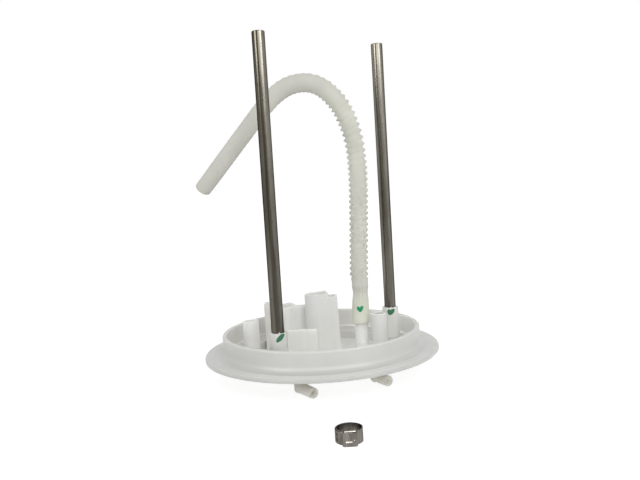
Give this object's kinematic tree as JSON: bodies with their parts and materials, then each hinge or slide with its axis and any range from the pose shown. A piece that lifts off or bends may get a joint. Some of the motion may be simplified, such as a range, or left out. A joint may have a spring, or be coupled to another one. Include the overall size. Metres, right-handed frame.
{
  "type": "fuel tank sending unit",
  "caption": "Round plastic fuel tank cover flange with steel guide rods, a corrugated hose hanging in an arc, pipe elbows below and a loose ear clamp.",
  "frame": {"origin": "axis of the flange on its seating face, where the collar starts", "axes": "+Z along the guide rods, into the tank when fitted (up as pictured, with the outer side down); -Y towards the side where the loose clamp lies; +X from the left rod towards the right rod"},
  "size_m": [0.16, 0.2215, 0.223],
  "materials": {
    "flange_plastic": "natural acetal, slightly translucent, satin",
    "tower_plastic": "natural acetal, slightly translucent, satin",
    "port_plastic": "natural acetal, satin, a little yellowed",
    "hose_plastic": "natural nylon, translucent, satin",
    "cuff_plastic": "natural nylon, yellowish, satin",
    "float_plastic": "moulded, satin",
    "rod_steel": "ground, oiled, darkened, with light pitting",
    "clamp_steel": "rolled stainless strip, dull",
    "spring_steel": "drawn wire",
    "terminal_metal": "tin plated brass"
  },
  "bodies": {
    "unit": {"tank_flange": "flange_plastic", "rod_socket_left": "flange_plastic", "rod_socket_right": "flange_plastic", "spare_socket_left": "flange_plastic", "spare_socket_right": "flange_plastic", "guide_rod_left": "rod_steel", "guide_rod_right": "rod_steel", "hose_stem": "flange_plastic", "hose_lower_cuff": "cuff_plastic", "hose": "hose_plastic", "hose_end_cuff": "hose_plastic", "vent_valve_housing": "tower_plastic", "vent_valve_spring": "spring_steel", "vent_valve_cap": "tower_plastic", "left_tower": "tower_plastic", "stop_wall": "tower_plastic", "inner_connector": "tower_plastic", "outer_connector": "port_plastic", "terminals": "terminal_metal", "pipe_elbow_left": "port_plastic", "pipe_elbow_right": "port_plastic"},
    "valve_float": {"vent_valve_float": "float_plastic"},
    "clamp": {"hose_clamp": "clamp_steel"}
  },
  "joints": [
    {"name": "vent_float_slide", "type": "slide", "parent": "unit", "child": "valve_float", "axis": [0, 0, 1], "range_m": [0, 0.004], "deforming": ["vent_valve_spring"]},
    {"name": "clamp_lift", "type": "slide", "parent": "unit", "child": "clamp", "axis": [0, 0, 1], "range_m": [0, 0.06]}
  ]
}
